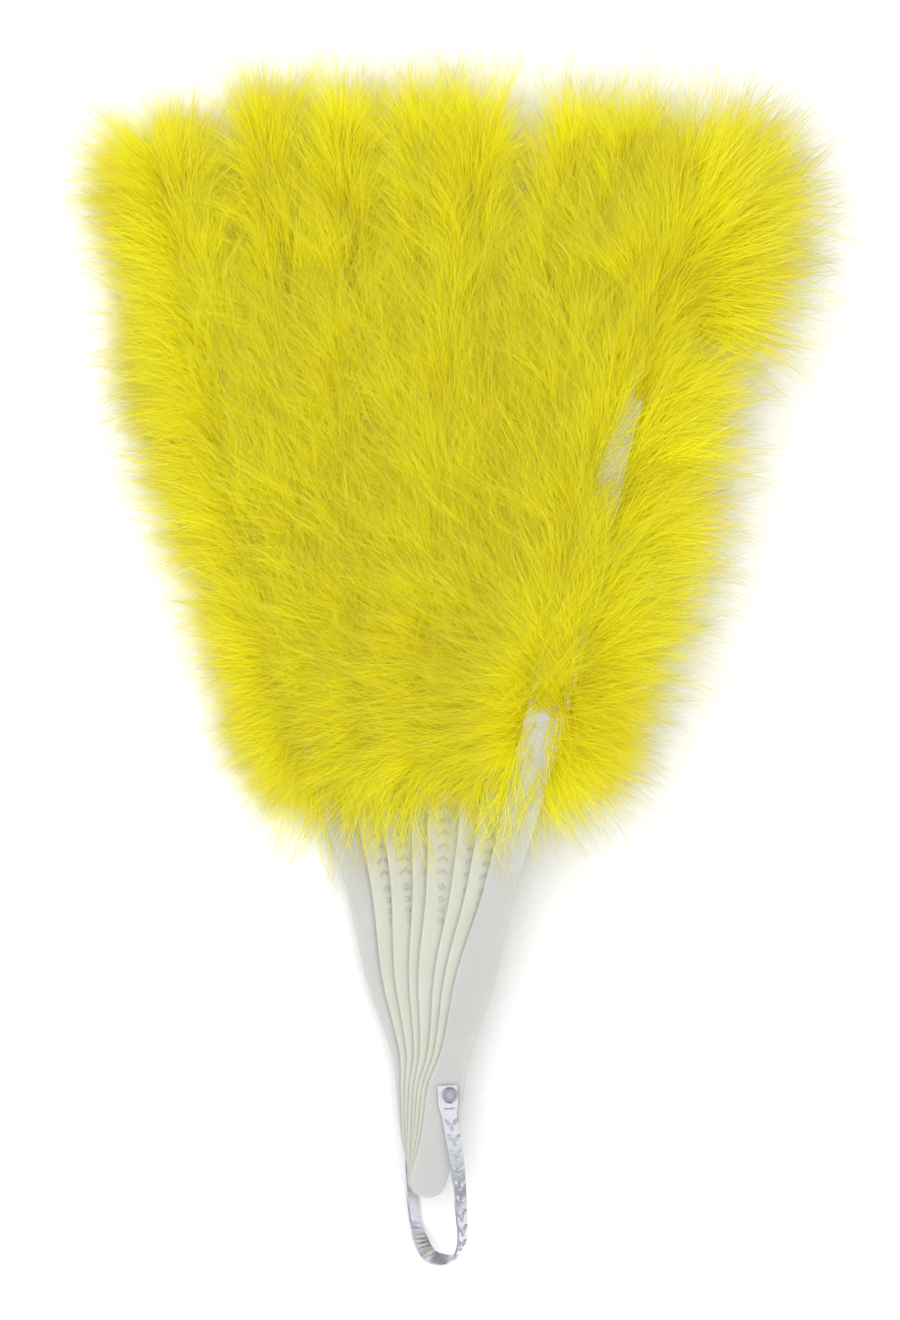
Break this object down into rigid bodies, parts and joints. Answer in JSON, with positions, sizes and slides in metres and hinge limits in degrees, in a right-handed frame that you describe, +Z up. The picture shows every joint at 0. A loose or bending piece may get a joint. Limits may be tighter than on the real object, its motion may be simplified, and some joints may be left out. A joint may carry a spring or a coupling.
{
  "type": "feather hand fan",
  "caption": "Folding hand fan of soft feather plumes on white plastic staves that turn on a rivet, with a hanging loop of metal strip.",
  "frame": {"origin": "on the table under the middle of the fan's outline as it lies on its back", "axes": "+Y from the rivet to the plume tips, +Z up out of the table towards the front guard, +X to the front guard's side"},
  "size_m": [0.1998, 0.3148, 0.041],
  "materials": {
    "guard_plastic": "satin moulded",
    "stick_plastic": "satin moulded, faintly cream",
    "marabou_down": "soft dyed down",
    "rivet_steel": "plated, polished",
    "loop_strip": "plated strip, embossed outside"
  },
  "bodies": {
    "rear_guard": {"rear_guard": "guard_plastic", "rear_guard_lower_plume": "marabou_down", "rear_guard_middle_plume": "marabou_down", "rear_guard_tip_plume": "marabou_down", "rivet_post": "rivet_steel", "rivet_cap": "rivet_steel"},
    "inner_stick_1": {"inner_stick_1": "stick_plastic", "inner_stick_1_lower_plume": "marabou_down", "inner_stick_1_middle_plume": "marabou_down", "inner_stick_1_tip_plume": "marabou_down"},
    "inner_stick_2": {"inner_stick_2": "stick_plastic", "inner_stick_2_lower_plume": "marabou_down", "inner_stick_2_middle_plume": "marabou_down", "inner_stick_2_tip_plume": "marabou_down"},
    "inner_stick_3": {"inner_stick_3": "stick_plastic", "inner_stick_3_lower_plume": "marabou_down", "inner_stick_3_middle_plume": "marabou_down", "inner_stick_3_tip_plume": "marabou_down"},
    "inner_stick_4": {"inner_stick_4": "stick_plastic", "inner_stick_4_lower_plume": "marabou_down", "inner_stick_4_middle_plume": "marabou_down", "inner_stick_4_tip_plume": "marabou_down"},
    "inner_stick_5": {"inner_stick_5": "stick_plastic", "inner_stick_5_lower_plume": "marabou_down", "inner_stick_5_middle_plume": "marabou_down", "inner_stick_5_tip_plume": "marabou_down"},
    "inner_stick_6": {"inner_stick_6": "stick_plastic", "inner_stick_6_lower_plume": "marabou_down", "inner_stick_6_middle_plume": "marabou_down", "inner_stick_6_tip_plume": "marabou_down"},
    "front_guard": {"front_guard": "guard_plastic", "front_guard_lower_plume": "marabou_down", "front_guard_middle_plume": "marabou_down", "front_guard_tip_plume": "marabou_down"},
    "hanging_loop": {"hanging_loop": "loop_strip"}
  },
  "joints": [
    {"name": "front_guard_turn", "type": "hinge", "parent": "rear_guard", "child": "front_guard", "pos_m": [-0.003, -0.11152, 0.01893], "axis": [0, 0, -1], "range_deg": [-30, 120]},
    {"name": "inner_stick_6_turn", "type": "hinge", "parent": "rear_guard", "child": "inner_stick_6", "pos_m": [-0.00405, -0.11152, 0.01733], "axis": [0, 0, -1], "range_deg": [-25.72, 102.87]},
    {"name": "inner_stick_5_turn", "type": "hinge", "parent": "rear_guard", "child": "inner_stick_5", "pos_m": [-0.0051, -0.11152, 0.01573], "axis": [0, 0, -1], "range_deg": [-21.44, 85.72]},
    {"name": "inner_stick_4_turn", "type": "hinge", "parent": "rear_guard", "child": "inner_stick_4", "pos_m": [-0.00615, -0.11152, 0.01413], "axis": [0, 0, -1], "range_deg": [-17.15, 68.58]},
    {"name": "inner_stick_3_turn", "type": "hinge", "parent": "rear_guard", "child": "inner_stick_3", "pos_m": [-0.0072, -0.11152, 0.01253], "axis": [0, 0, -1], "range_deg": [-12.87, 51.44]},
    {"name": "inner_stick_2_turn", "type": "hinge", "parent": "rear_guard", "child": "inner_stick_2", "pos_m": [-0.00825, -0.11152, 0.01093], "axis": [0, 0, -1], "range_deg": [-8.58, 34.3]},
    {"name": "inner_stick_1_turn", "type": "hinge", "parent": "rear_guard", "child": "inner_stick_1", "pos_m": [-0.0093, -0.11152, 0.00933], "axis": [0, 0, -1], "range_deg": [-4.3, 17.15]},
    {"name": "loop_swing", "type": "hinge", "parent": "rear_guard", "child": "hanging_loop", "pos_m": [-0.00667, -0.11152, 0.01333], "axis": [0.5487, 0, 0.836], "range_deg": [-12, 2]}
  ],
  "couplings": [
    {"joint": "inner_stick_6_turn", "follows": "front_guard_turn", "ratio": 0.85714},
    {"joint": "inner_stick_5_turn", "follows": "front_guard_turn", "ratio": 0.71429},
    {"joint": "inner_stick_4_turn", "follows": "front_guard_turn", "ratio": 0.57143},
    {"joint": "inner_stick_3_turn", "follows": "front_guard_turn", "ratio": 0.42857},
    {"joint": "inner_stick_2_turn", "follows": "front_guard_turn", "ratio": 0.28571},
    {"joint": "inner_stick_1_turn", "follows": "front_guard_turn", "ratio": 0.14286}
  ]
}
